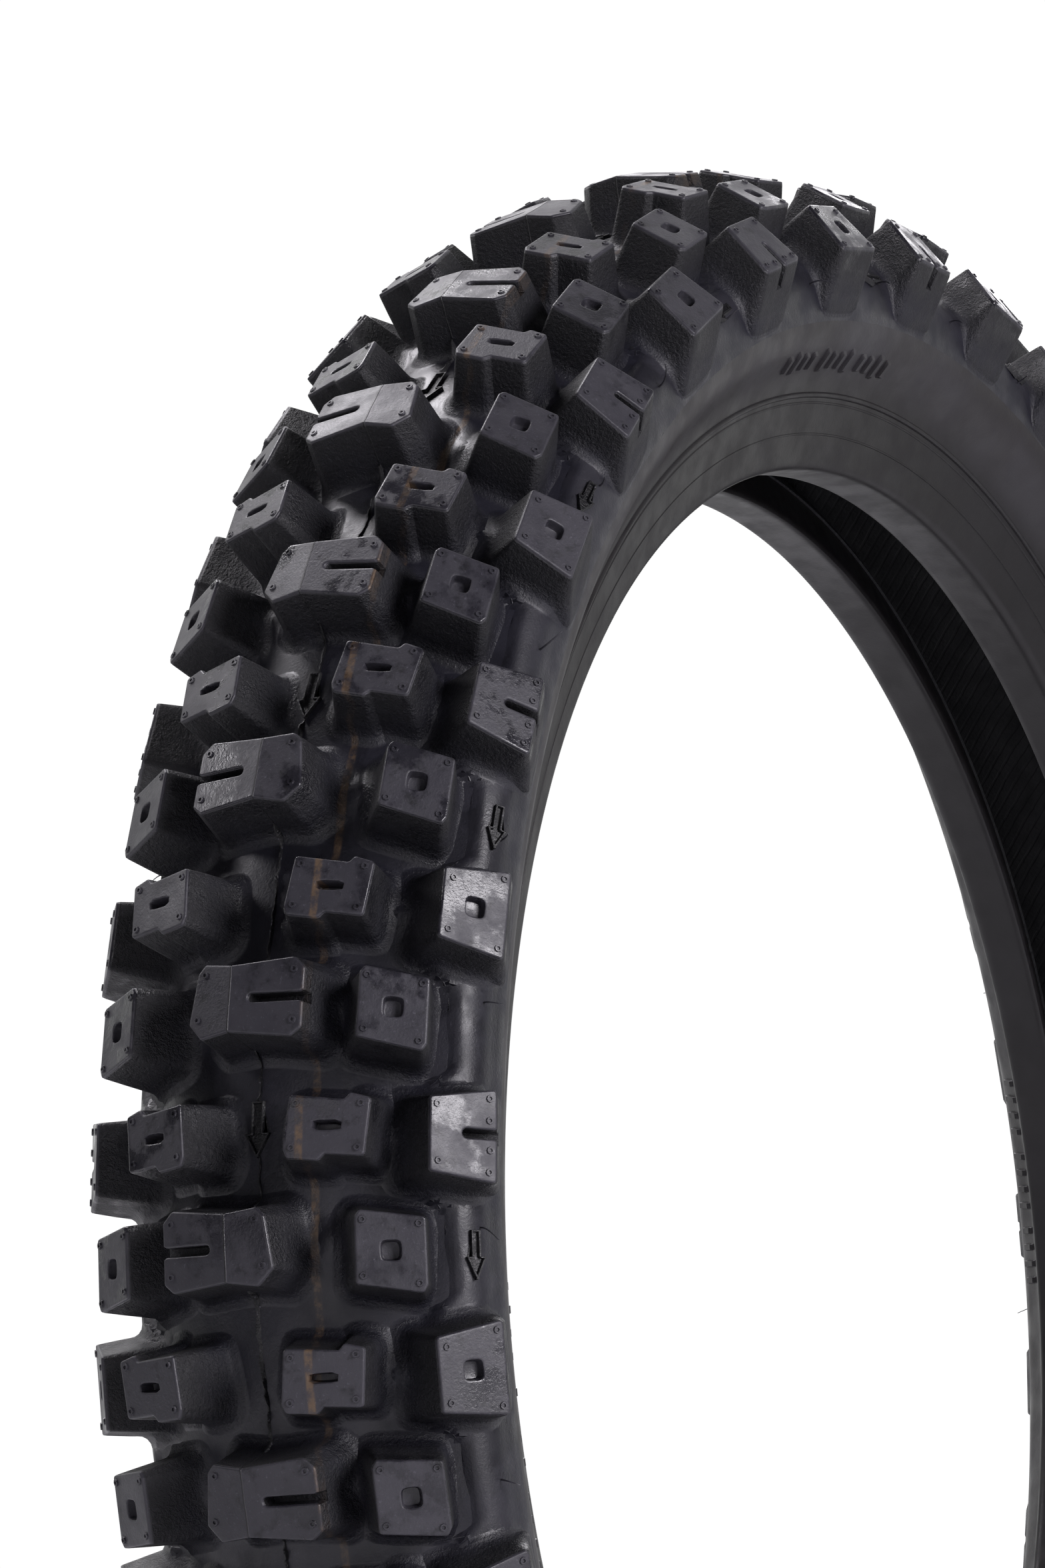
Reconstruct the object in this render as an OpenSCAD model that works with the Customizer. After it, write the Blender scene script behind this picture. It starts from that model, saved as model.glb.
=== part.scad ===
// Knobbly off-road motorcycle tyre for a 19 inch rear rim, with its inner plies and bead rings.
// The wheel turns about the Y axis, the tyre stands in the XZ plane, and the origin is the axle's centre.

/* [Overall size] */
// Diameter over the middle knobs
overall_d = 668; // [664:1:672]
// Diameter of the rim seat that the beads sit on, 19 inch
bead_seat_d = 482.6; // [482:0.1:483]
// Height of the knobs above the tread floor
knob_h = 16.5; // [15.5:0.1:17]
// Knob pitches round the tyre; left and right versions take turns, so it is even
pitches = 34; // [34:2:34]

/* [Casing shape] */
// Radius of the tread floor's crown, across the tyre
crown_radius = 58; // [57:0.5:59]
// Angle that the crown arc turns through before the shoulder
crown_turn = 52; // [51:0.5:53]
// Radius of the shoulder arc
shoulder_radius = 16; // [15.5:0.5:16.5]
// Slope of the upper sidewall, 90 being upright
sidewall_slope = 135; // [134:1:136]
// Length of the straight part of the sidewall
sidewall_run = 6; // [5:0.5:7]
// Radius of the hollow above the rim line
hollow_radius = 20; // [19:0.5:21]
// Slope of the bead's outer face, 90 being upright
bead_slope = 110; // [109:1:111]
// Width of the bead from heel to toe
bead_w = 15.5; // [15:0.1:16]

/* [Layers] */
// Thickness of one cord ply
ply_t = 1; // [0.8:0.1:1.1]
// Thickness of the airtight liner
liner_t = 1; // [0.8:0.1:1.2]
// Thickness of the breaker ply under the tread
breaker_t = 1; // [0.8:0.1:1.2]
// Thickness of the tread rubber between the grooves and the breaker
tread_floor_t = 4; // [3.8:0.1:4.4]
// Thickness of the sidewall rubber
side_rubber_t = 2.4; // [2.2:0.1:2.6]
// Half width of the breaker ply, as an angle on the crown arc
breaker_turn = 40; // [36:2:44]
// Height above the rim seat at which the outer ply's turned-up edge ends
turn_up_h = 19; // [17:0.5:20]

/* [Bead ring] */
// Diameter of one bead wire
wire_d = 1.3; // [1.2:0.05:1.35]
// Spacing of the bead wires in their bundle
wire_pitch = 1.4; // [1.4:0.01:1.42]
// Depth of the wire bundle's centre behind the bead's outer face
bundle_depth = 8.75; // [8.6:0.05:8.9]
// Height of the wire bundle's centre above the rim seat
bundle_h = 7.6; // [7.4:0.1:7.8]

/* [Knobs] */
// Draft of the knob walls
knob_draft = 7; // [5:0.5:9]
// Slope of the middle knobs' top away from their ridge
ridge_slope = 8.5; // [7:0.5:10]
// Sideways step of the inner side knobs, to one side and the other in turn
side_step = 1.7; // [1.5:0.1:1.9]
// Depth of the long slots in the knobs
slot_depth = 6; // [4:0.5:7]
// Width of the long slots
slot_w = 2.4; // [2.2:0.1:3]
// Depth of the square dimples
dimple_depth = 2.5; // [2:0.1:3]
// Side of the square dimples
dimple_w = 5; // [4.5:0.1:5.5]

/* [Sidewall ribs] */
// Height of the rim line that shows whether the tyre sits true on its rim
rim_line_h = 0.8; // [0.5:0.1:1]
// Number of fine ribs below the rim line
fine_ribs = 3; // [2:1:3]
// Spacing of the fine ribs
rib_gap = 2.2; // [2:0.1:2.4]

/* [Hidden] */
$fn = 96;
RUBBER = "#2a2b2d";
SIDE_RUBBER = "#323335";
BEAD_RUBBER = "#242527";
CORD = "#8b8069";
LINER = "#1d1e20";
WIRE = "#a98a4d";

top_r = overall_d / 2;
floor_r = top_r - knob_h;
seat_r = bead_seat_d / 2;
pitch_angle = 360 / pitches;
arc_step = 2; // degrees of turn between two points of a profile arc

// ---- Profile geometry -----------------------------------------------------------------------
// A profile lies in the plane of rotate_extrude: x is the radius and y runs along the axle.
// A path point is [radius, across, heading]. Heading 0 runs outward across the crown and heading 90
// runs straight down the sidewall towards the axle. The normal points out of the rubber.

function normal(heading) = [cos(heading), sin(heading)];
function along(heading) = [-sin(heading), cos(heading)];
function place(p) = [p[0], p[1]];
function last(list) = list[len(list) - 1];
function reverse(list) = [for (i = [len(list) - 1:-1:0]) list[i]];
function sink(p, depth) = [p[0] - depth * cos(p[2]), p[1] - depth * sin(p[2]), p[2]];
function step(p, run) = [p[0] - run * sin(p[2]), p[1] + run * cos(p[2]), p[2]];
function run_of(p, run, n) = [for (i = [1:n]) step(p, run * i / n)];
function bend(p, radius, turn) =
    let (centre = sink(p, radius), n = ceil(abs(turn) / arc_step))
    [for (i = [1:n]) let (h = p[2] + turn * i / n) sink([centre[0], centre[1], h], -radius)];
function flip(list) = [for (p = list) [p[0], -p[1], -p[2]]];
function both_sides(half) = concat(reverse(flip([for (i = [1:len(half) - 1]) half[i]])), half);
function ramp(x, low, high) = let (t = min(1, max(0, (x - low) / (high - low)))) t * t * (3 - 2 * t);
function outline(list) = [for (p = list) place(p)];
function offset_by(list, depth) = [for (p = list) place(sink(p, depth))];

// Outer surface, from the middle of the crown to the bead's heel.
crown_top = [floor_r, 0, 0];
crown_arc = bend(crown_top, crown_radius, crown_turn);
shoulder_arc = bend(last(crown_arc), shoulder_radius, sidewall_slope - crown_turn);
wall_run = run_of(last(shoulder_arc), sidewall_run, 3);
hollow_arc = bend(last(wall_run), -hollow_radius, bead_slope - sidewall_slope);
rim_line = last(hollow_arc);
bead_face = run_of(rim_line, (rim_line[0] - seat_r) / sin(bead_slope), 10);
outer_half = concat([crown_top], crown_arc, shoulder_arc, wall_run, hollow_arc, bead_face);
heel = last(outer_half);

// Wire bundle: one wire in the middle, then close rings of six and twelve.
bundle_r = wire_d / 2 + 2 * wire_pitch;
bundle_level = seat_r + bundle_h;
bundle_run = (rim_line[0] - bundle_level - bundle_depth * cos(bead_slope)) / sin(bead_slope);
bundle = sink(step(rim_line, bundle_run), bundle_depth);

// The plies' middle line sinks deep under the tread and comes near the surface in the sidewall.
// It runs down the inside of the wire bundle, wraps it and turns up outside.
wrap_r = bundle_r + ply_t + 0.15;
crown_depth = tread_floor_t + breaker_t + ply_t;
wall_depth = side_rubber_t + ply_t;
bead_depth = bundle_depth + wrap_r;
turned_depth = bundle_depth - wrap_r;
wall_end = rim_line[0] + 9;
fill_end = bundle_level + 2;
function ply_depth(p) = crown_depth
    + (wall_depth - crown_depth) * ramp(p[2], breaker_turn, 95)
    + (bead_depth - wall_depth) * (p[2] < 90 ? 0 : 1 - ramp(p[0], fill_end, wall_end));
ply_down = [for (p = outer_half) if (p[0] > fill_end) sink(p, ply_depth(p))];
wrap_start = sink(step(rim_line, bundle_run), bead_depth);
wrap_arc = bend(wrap_start, -wrap_r, -180);
function ply_path(height) =
    let (up = last(wrap_arc), run = (seat_r + height - up[0]) / sin(bead_slope))
    concat(ply_down, [wrap_start], wrap_arc, run_of(up, run, 4));

// Turns a profile about the axle.
module ring() {
    rotate([-90, 0, 0]) rotate_extrude() children();
}

// A strip between two depths below a path.
module strip(path, upper, lower) {
    polygon(concat(offset_by(path, upper), reverse(offset_by(path, lower))));
}

// Side 1 is the side of +Y and side -1 is its mirror image.
module on_side(side) {
    mirror([0, side < 0 ? 1 : 0, 0]) children();
}

// ---- Casing ---------------------------------------------------------------------------------

module inner_liner() {
    color(LINER) ring() strip(both_sides(ply_down), ply_t, ply_t + liner_t);
}

module body_ply_inner() {
    color(CORD) ring() strip(both_sides(ply_path(turn_up_h - 4)), 0, ply_t);
}

module body_ply_outer() {
    color(CORD) ring() strip(both_sides(ply_path(turn_up_h)), -ply_t, 0);
}

module breaker_ply() {
    half = concat([crown_top], [for (p = crown_arc) if (p[2] <= breaker_turn) p]);
    color(CORD) ring() strip(both_sides(half), tread_floor_t, tread_floor_t + breaker_t);
}

// The tread floor lies on the breaker and runs down over the shoulder to meet the sidewall.
shoulder_end = 100;
floor_half = concat([crown_top], crown_arc, [for (p = shoulder_arc) if (p[2] <= shoulder_end) p]);
function floor_depth(p) = abs(p[2]) <= breaker_turn ? tread_floor_t : ply_depth([p[0], p[1], abs(p[2])]) - ply_t;

module tread_floor() {
    path = both_sides(floor_half);
    color(RUBBER) ring()
        polygon(concat(outline(path), reverse([for (p = path) place(sink(p, floor_depth(p)))])));
}

// ---- Beads ----------------------------------------------------------------------------------

module bead_wire(side) {
    color(WIRE) on_side(side) ring()
        for (i = [-2:2], j = [-2:2])
            if (abs(i + j) <= 2)
                translate(place(bundle) + wire_pitch * [i + j / 2, j * sin(60)]) circle(d = wire_d, $fn = 12);
}

// A hard wedge over the wire bundle fills the space between the ply and its turned-up edge.
module bead_filler(side) {
    slack = 0.1;
    face = turned_depth + ply_t + slack;
    wedge = [for (p = outer_half)
        if (p[0] > bundle_level - 1 && p[2] > 90 && ply_depth(p) - ply_t - slack > face) p];
    color(LINER) on_side(side) ring() difference() {
        polygon(concat(offset_by(wedge, face), reverse([for (p = wedge) place(sink(p, ply_depth(p) - ply_t - slack))])));
        translate(place(bundle)) circle(r = bundle_r + slack, $fn = 72);
    }
}

// The chafer is the tough strip that wraps the bead: outer face, heel, seat, toe and inner face.
chafer_top = bundle_level + 4;
chafer_edge = step(rim_line, (rim_line[0] - chafer_top) / sin(bead_slope));
module chafer(side) {
    heel_r = 3;
    toe_r = 1.5;
    heel_turn = 180 - bead_slope;
    toe_turn = 180 - heel_turn;
    face = concat([chafer_edge], [for (p = bead_face) if (p[0] < chafer_top && p[0] > seat_r + heel_r) p]);
    heel_arc = bend(step(heel, -heel_r * tan(heel_turn / 2)), heel_r, heel_turn);
    seat_run = bead_w - heel_r * tan(heel_turn / 2) - toe_r * tan(toe_turn / 2);
    toe_arc = bend(step(last(heel_arc), seat_run), toe_r, toe_turn);
    liner_end = last(ply_down);
    wrap = offset_by(concat([liner_end, wrap_start], wrap_arc), ply_t);
    color(BEAD_RUBBER) on_side(side) ring()
        polygon(concat(outline(face), outline(heel_arc), outline(toe_arc),
            [place(sink(liner_end, ply_t + liner_t))], wrap, reverse(offset_by(face, turned_depth - ply_t))));
}

// ---- Sidewalls ------------------------------------------------------------------------------

module sidewall(side) {
    wall = concat([for (p = outer_half) if (p[2] >= shoulder_end && p[0] > chafer_top) p], [chafer_edge]);
    function depth(p) = p[0] > seat_r + turn_up_h + 1 ? ply_depth(p) - ply_t : turned_depth - ply_t;
    color(SIDE_RUBBER) on_side(side) ring() {
        polygon(concat(outline(wall), reverse([for (p = wall) place(sink(p, depth(p)))])));
        translate(place(rim_line)) circle(r = rim_line_h, $fn = 32);
        for (i = [1:fine_ribs])
            translate(place(step(rim_line, rib_gap * i))) circle(r = rim_line_h / 3, $fn = 24);
    }
}

// ---- Knobs ----------------------------------------------------------------------------------
// A knob is drawn in its own frame: x runs outward across the tyre, y runs up at the tyre's front,
// z points out of the tyre, and the top's middle is the origin.

// Middle knob: its long half is on +x.
MIDDLE = [[-8.3, 9.4], [0, 8.4], [16.3, 9.7], [18.9, 7.1], [18.9, -7.7], [16.3, -9.8], [0, -8.4],
    [-8.3, -9.4], [-12.1, -5.3], [-10.2, 7.3]];
// Inner side knob: a stepped block.
INNER = [[-9.3, 5.7], [4.4, 4.4], [5.8, 6], [10.9, 4.6], [9.4, -9.6], [-0.4, -8.8], [-2.1, -10.5],
    [-9.9, -9.8], [-10.8, -7.5]];
// Outer side knob: nearly square with two corners cut.
OUTER = [[-8.6, 6.1], [-7.5, 7.7], [8.6, 5.5], [8.7, -10.9], [7.6, -12.8], [-8.7, -10.2]];
// Shoulder knob: wider towards the sidewall.
SHOULDER = [[-9.2, 5.6], [8.7, 8.3], [8.8, -14.8], [-9.1, -12.7]];

// Where the tops of each row stand: [across, depth below the middle knobs' top, lean].
INNER_AT = [24.6, 4.6, 17.7];
OUTER_AT = [39.9, 11.7, 32.8];
SHOULDER_AT = [53.5, 24.6, 53.4];

// Puts the shape at index k; whole numbers are the middle knobs' places and k rises downward in front.
module stand(k, at) {
    rotate([0, (k - 0.5) * pitch_angle, 0])
        translate([top_r - at[1], at[0], 0]) rotate([90, 0, 90 + at[2]]) children();
}

// FACETED: a block with drafted walls.
module block(points) {
    depth = knob_h + 5;
    low = [min([for (p = points) p[0]]), min([for (p = points) p[1]])];
    high = [max([for (p = points) p[0]]), max([for (p = points) p[1]])];
    middle = (low + high) / 2;
    spread = 2 * depth * tan(knob_draft);
    growth = [1 + spread / (high[0] - low[0]), 1 + spread / (high[1] - low[1])];
    translate([middle[0], middle[1], -depth])
        linear_extrude(height = depth, scale = [1 / growth[0], 1 / growth[1]], slices = 1, segments = 1)
            polygon([for (p = points) [(p[0] - middle[0]) * growth[0], (p[1] - middle[1]) * growth[1]]]);
}

// A slot with a round end at x = from.
module slot(from, to, level) {
    translate([0, level, -slot_depth]) linear_extrude(slot_depth + 1) {
        translate([from, 0]) circle(d = slot_w, $fn = 32);
        translate([from, -slot_w / 2]) square([to - from, slot_w]);
        if (to < 10) translate([to, 0]) circle(d = slot_w, $fn = 32);
    }
}

module dimple(level) {
    translate([-dimple_w / 2, level - dimple_w / 2, -dimple_depth]) cube([dimple_w, dimple_w, dimple_depth + 1]);
}

module middle_knob() {
    reach = 30;
    past = 3; // how far each cutting block runs past the ridge
    difference() {
        block(MIDDLE);
        rotate([0, ridge_slope, 0]) translate([-past, -reach / 2, 0]) cube([reach, reach, reach]);
        rotate([0, -ridge_slope, 0]) translate([past - reach, -reach / 2, 0]) cube([reach, reach, reach]);
        slot(5.9, reach, 0);
    }
}

module inner_knob() {
    difference() {
        block(INNER);
        slot(-2.4, 2.6, -1.9);
    }
}

module outer_knob() {
    difference() {
        block(OUTER);
        dimple(-2.4);
    }
}

module shoulder_knob(slotted) {
    difference() {
        block(SHOULDER);
        if (slotted) slot(0.8, 20, -2.9);
        else dimple(-3.1);
    }
}

// The solid under the tread floor's surface, which the knobs stand on.
module under_floor() {
    path = both_sides(floor_half);
    ring() polygon(concat(outline(path), [[rim_line[0], last(floor_half)[1]], [rim_line[0], -last(floor_half)[1]]]));
}

module middle_knobs(side) {
    first = side > 0 ? 0 : 1;
    color(RUBBER) difference() {
        for (k = [first:2:pitches - 1]) on_side(side) stand(k, [0, 0, 0]) middle_knob();
        under_floor();
    }
}

module inner_knobs(side) {
    color(RUBBER) difference() {
        for (k = [0:pitches - 1])
            on_side(side)
                stand(k + 0.5, INNER_AT + [(k % 2 == 0 ? side : -side) * side_step, 0, 0]) inner_knob();
        under_floor();
    }
}

module outer_knobs(side) {
    color(RUBBER) difference() {
        for (k = [0:pitches - 1]) on_side(side) stand(k, OUTER_AT) outer_knob();
        under_floor();
    }
}

module shoulder_knobs(side, slotted) {
    first = slotted ? 0 : 1;
    color(RUBBER) difference() {
        for (k = [first:2:pitches - 1]) on_side(side) stand(k + 0.5, SHOULDER_AT) shoulder_knob(slotted);
        under_floor();
    }
}

inner_liner();
body_ply_inner();
body_ply_outer();
breaker_ply();
tread_floor();
bead_wire(1);  // bead_wire_right
bead_wire(-1);  // bead_wire_left
bead_filler(1);  // bead_filler_right
bead_filler(-1);  // bead_filler_left
chafer(1);  // chafer_right
chafer(-1);  // chafer_left
sidewall(1);  // sidewall_right
sidewall(-1);  // sidewall_left
middle_knobs(1);  // middle_knobs_right
middle_knobs(-1);  // middle_knobs_left
inner_knobs(1);  // inner_knobs_right
inner_knobs(-1);  // inner_knobs_left
outer_knobs(1);  // outer_knobs_right
outer_knobs(-1);  // outer_knobs_left
shoulder_knobs(1, true);  // shoulder_knobs_slotted_right
shoulder_knobs(-1, true);  // shoulder_knobs_slotted_left
shoulder_knobs(1, false);  // shoulder_knobs_dimpled_right
shoulder_knobs(-1, false);  // shoulder_knobs_dimpled_left
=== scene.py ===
from math import cos, pi, radians, sin, tan

import bpy
import numpy as np
from bpy.props import FloatProperty, FloatVectorProperty, PointerProperty
from mathutils import Matrix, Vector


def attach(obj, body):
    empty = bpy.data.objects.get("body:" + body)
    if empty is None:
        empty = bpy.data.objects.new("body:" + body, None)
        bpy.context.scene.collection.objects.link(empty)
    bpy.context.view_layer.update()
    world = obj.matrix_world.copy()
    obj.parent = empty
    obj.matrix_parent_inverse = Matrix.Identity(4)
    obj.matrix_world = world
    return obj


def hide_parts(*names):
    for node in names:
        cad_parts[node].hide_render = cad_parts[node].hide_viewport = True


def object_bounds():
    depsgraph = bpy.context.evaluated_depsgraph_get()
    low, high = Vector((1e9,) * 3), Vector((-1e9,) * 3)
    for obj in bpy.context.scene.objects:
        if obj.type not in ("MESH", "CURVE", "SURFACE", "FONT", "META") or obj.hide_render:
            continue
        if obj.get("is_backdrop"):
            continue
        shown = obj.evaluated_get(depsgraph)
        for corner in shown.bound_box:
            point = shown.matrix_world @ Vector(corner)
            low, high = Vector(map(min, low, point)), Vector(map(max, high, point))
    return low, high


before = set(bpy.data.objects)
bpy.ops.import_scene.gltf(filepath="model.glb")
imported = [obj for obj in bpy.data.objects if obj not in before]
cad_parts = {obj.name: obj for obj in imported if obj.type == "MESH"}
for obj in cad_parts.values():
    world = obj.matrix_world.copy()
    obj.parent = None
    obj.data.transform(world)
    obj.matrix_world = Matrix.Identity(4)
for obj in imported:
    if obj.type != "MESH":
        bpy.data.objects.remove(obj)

bl_info = {
    "name": "Knobbly Motorcycle Tire",
    "version": (1, 0, 0),
    "blender": (4, 2, 0),
    "location": "3D View > Sidebar > Tire",
    "description": "Moulded tread blocks, tread floor, sidewalls, beads and markings of an off-road tire",
    "category": "Add Mesh",
}

# Lengths in this file are millimetres until put_mesh turns them into metres. Pitch k lies at the
# angle (one half - k) pitches up from the front, so k grows as the tread runs down at the front.
MM = 0.001
PITCHES = 34
PITCH = 2 * pi / PITCHES
TOP_R = 334.0  # the middle blocks' top
PITCH_RUN = TOP_R * PITCH  # one pitch measured round the top of the middle blocks
FLOOR_R = 317.5  # the tread floor at the middle
# The casing's outside: arcs and straights from the crown to the bead, with the slope each ends with.
CROWN_RADIUS = 58.0
CROWN_TURN = radians(52)
SHOULDER_RADIUS = 16.0
WALL_SLOPE = radians(135)
WALL_RUN = 6.0
HOLLOW_RADIUS = 20.0
BEAD_SLOPE = radians(110)
HEEL_RADIUS = 3.0
TOE_RADIUS = 1.5
SEAT_RUN = 11.26
FACE_RUN = 22.56
INNER_FACE_RUN = 15.0
CROWN_R = FLOOR_R - CROWN_RADIUS
SHOULDER_R = CROWN_R + (CROWN_RADIUS - SHOULDER_RADIUS) * cos(CROWN_TURN)
SHOULDER_Y = (CROWN_RADIUS - SHOULDER_RADIUS) * sin(CROWN_TURN)

# The run of each leg in turn from the middle of the crown to inside the toe, and the heading it ends
# with. Heading 0 runs straight across, and a quarter turn runs to the axle.
LEG_RUNS = np.array([
    CROWN_RADIUS * CROWN_TURN, SHOULDER_RADIUS * (WALL_SLOPE - CROWN_TURN), WALL_RUN,
    HOLLOW_RADIUS * (WALL_SLOPE - BEAD_SLOPE), FACE_RUN - HEEL_RADIUS * tan((pi - BEAD_SLOPE) / 2),
    HEEL_RADIUS * (pi - BEAD_SLOPE), SEAT_RUN, TOE_RADIUS * BEAD_SLOPE, INNER_FACE_RUN])
LEG_ENDS = np.concatenate([[0], np.cumsum(LEG_RUNS)])
LEG_HEADINGS = np.array([0, CROWN_TURN, WALL_SLOPE, WALL_SLOPE, BEAD_SLOPE, BEAD_SLOPE, pi, pi,
                         pi + BEAD_SLOPE, pi + BEAD_SLOPE])
FLOOR_EDGE = LEG_ENDS[1] + SHOULDER_RADIUS * (radians(100) - CROWN_TURN)
RIM_LINE = LEG_ENDS[4]
CHAFER_TOP = RIM_LINE + 10.2


class TireSizes(bpy.types.PropertyGroup):
    """Sizes of the moulded detail, in metres."""
    edge_radius: FloatProperty(name="Block edge radius", description="Rounding of the blocks' tops",
                               default=0.00045, min=0.0002, max=0.0007, unit="LENGTH")
    foot_radius: FloatProperty(name="Foot radius", description="Fillet between a block and the floor",
                               default=0.0036, min=0.002, max=0.005, unit="LENGTH")
    slot_depth: FloatProperty(name="Slot depth", description="Depth of the long slots",
                              default=0.006, min=0.004, max=0.0065, unit="LENGTH")
    dimple_depth: FloatProperty(name="Dimple depth", description="Depth of the square dimples",
                                default=0.0028, min=0.001, max=0.003, unit="LENGTH")
    deck_height: FloatProperty(name="Deck height", description="Step of the floor between shoulder blocks",
                               default=0.003, min=0.001, max=0.004, unit="LENGTH")
    tie_height: FloatProperty(name="Tie height", description="Height of the saddles that tie blocks",
                              default=0.0036, min=0.001, max=0.005, unit="LENGTH")
    seam_height: FloatProperty(name="Seam height", description="Height of the mould seam's ragged fin",
                               default=0.0011, min=0.0003, max=0.002, unit="LENGTH")
    mark_height: FloatProperty(name="Mark height", description="Height of the arrows and sidewall bars",
                               default=0.001, min=0.0003, max=0.0012, unit="LENGTH")


class TireColours(bpy.types.PropertyGroup):
    """Colours of the materials."""
    rubber: FloatVectorProperty(name="Tread rubber", description="Clean tread rubber", subtype="COLOR",
                                default=(0.0090, 0.0088, 0.0118), size=3, min=0, max=1)
    # Besides the pale bloom, this colour is painted as light on the block tops and as glints.
    bloom_and_light: FloatVectorProperty(name="Rubber bloom", description="Pale bloom on the worked rubber",
                               subtype="COLOR", default=(0.0215, 0.0205, 0.0255), size=3, min=0, max=1)
    # Painted shade: this colour darkens and blues the tread low down between the blocks; the sidewall takes
    # it for dull patches.
    voids: FloatVectorProperty(name="Painted void shade and patch colour", description="Painted bluish shade low down between the blocks, and the sidewall's dull patches",
                               subtype="COLOR", default=(0.0055, 0.0055, 0.0105), size=3, min=0, max=1)
    side: FloatVectorProperty(name="Sidewall rubber", description="Smooth sidewall rubber",
                              subtype="COLOR", default=(0.0110, 0.0096, 0.0106), size=3, min=0, max=1)
    stripe: FloatVectorProperty(name="Stripe", description="Faded paint stripe along the tread",
                                subtype="COLOR", default=(0.085, 0.054, 0.030), size=3, min=0, max=1)
    liner: FloatVectorProperty(name="Liner rubber", description="Airtight lining", subtype="COLOR",
                               default=(0.006, 0.0065, 0.008), size=3, min=0, max=1)
    cord: FloatVectorProperty(name="Cord", description="Rubbered cord plies", subtype="COLOR",
                              default=(0.26, 0.22, 0.16), size=3, min=0, max=1)
    wire: FloatVectorProperty(name="Bead wire", description="Bronze plated bead wire", subtype="COLOR",
                              default=(0.55, 0.42, 0.20), size=3, min=0, max=1)
    floor: FloatVectorProperty(name="Studio floor", description="Pale floor", subtype="COLOR",
                               default=(0.74, 0.74, 0.76), size=3, min=0, max=1)


# ---- The casing as a surface ------------------------------------------------------------------

def casing(v):
    """Radius, distance across and heading at the run v along the casing's outside.

    The heading changes evenly along each leg, so each leg is an arc or a straight. Radius is the
    floor's radius less the sum of the heading's sine, and distance across is the sum of its cosine.
    """
    fine = np.linspace(0, LEG_ENDS[-1], 12001)
    heading = np.interp(fine, LEG_ENDS, LEG_HEADINGS)
    mid = (heading[1:] + heading[:-1]) / 2
    run = fine[1]
    r = FLOOR_R - np.concatenate([[0], np.cumsum(np.sin(mid))]) * run
    y = np.concatenate([[0], np.cumsum(np.cos(mid))]) * run
    s = np.abs(v)
    return np.interp(s, fine, r), np.interp(s, fine, y), np.interp(s, fine, heading)


def turn(k, r, y):
    """Points at radius r and distance y across, turned about the axle to pitch k.

    x = r times the cosine and z = r times the sine of the angle (one half - k) pitches.
    """
    a = (0.5 - k) * PITCH
    r, y, a = np.broadcast_arrays(r, y, a)
    return np.stack([r * np.cos(a), y, r * np.sin(a)], -1)


def on_casing(k, v, lift):
    """Points at pitch k and run v, lifted along the casing's normal. Negative v is the left side."""
    r, y, heading = casing(v)
    return turn(k, r + lift * np.cos(heading), np.sign(v) * (y + lift * np.sin(heading)))


def find_on_casing(p):
    """The pitch, signed run and height over the bare tread floor of points p near it.

    A point is measured from the crown arc's centre, and past the crown from the shoulder arc's.
    """
    r, y = np.hypot(p[..., 0], p[..., 2]), np.abs(p[..., 1])
    k = 0.5 - np.arctan2(p[..., 2], p[..., 0]) / PITCH
    at_crown = np.arctan2(y, r - CROWN_R)
    at_shoulder = np.arctan2(y - SHOULDER_Y, r - SHOULDER_R)
    crown = at_crown <= CROWN_TURN
    v = np.where(crown, CROWN_RADIUS * at_crown,
                 LEG_ENDS[1] + SHOULDER_RADIUS * (at_shoulder - CROWN_TURN))
    lift = np.where(crown, np.hypot(y, r - CROWN_R) - CROWN_RADIUS,
                    np.hypot(y - SHOULDER_Y, r - SHOULDER_R) - SHOULDER_RADIUS)
    return k, v * np.sign(p[..., 1]), lift


def ease(x, low, high):
    """A smooth step from 0 at low to 1 at high."""
    t = np.clip((x - low) / (high - low), 0, 1)
    return t * t * (3 - 2 * t)


# Where the shoulder deck's inner edge runs, from one shoulder block to the next: shares of a pitch
# from the outer block, and the run across. The deck fades down the shoulder over DECK_FADE.
DECK_AT = (-0.5, -0.30, -0.21, -0.13, 0.22, 0.30, 0.38, 0.5)
DECK_EDGE = (37.0, 38.5, 41.0, 46.8, 47.8, 42.8, 40.5, 39.0)
DECK_FADE = (62, 51)
# The saddles between a middle and an outer block, and between an inner and a shoulder block: the
# runs across over which each rises and falls, and how wide both are.
MIDDLE_TIE = ((13, 19), (38, 32))
SHOULDER_TIE = ((26, 34), (52, 46))
TIE_WIDE = 5.0
SHORT_TIE = 0.55  # a middle block's short half has a lower saddle


def saddle(off, s, rise, fall):
    """A saddle's share of its height: a bell curve of the distance off its line, times a smooth
    rise and fall across the tire."""
    return np.exp(-(off / TIE_WIDE) ** 2) * ease(s, *rise) * ease(s, *fall)


def relief(k, v, sizes):
    """Height of the tread floor's moulded relief over the plain casing.

    It adds a deck between the shoulder blocks, and a saddle between each inner and shoulder block and
    between each middle and outer block.
    """
    s = np.abs(v)
    near = k - np.round(k)
    half = k - np.floor(k) - 0.5
    deck = ease(s - np.interp(near, DECK_AT, DECK_EDGE), -1.4, 1.6) * ease(s, *DECK_FADE)
    long_side = np.where(np.round(k) % 2 == 0, 1, -1) * np.sign(v) > 0
    middle = saddle(near * PITCH_RUN + 1, s, *MIDDLE_TIE) * np.where(long_side, 1, SHORT_TIE)
    shoulder = saddle(half * PITCH_RUN - 3, s, *SHOULDER_TIE)
    return sizes.deck_height / MM * deck + sizes.tie_height / MM * (shoulder + middle)


# ---- Meshes ---------------------------------------------------------------------------------

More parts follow.
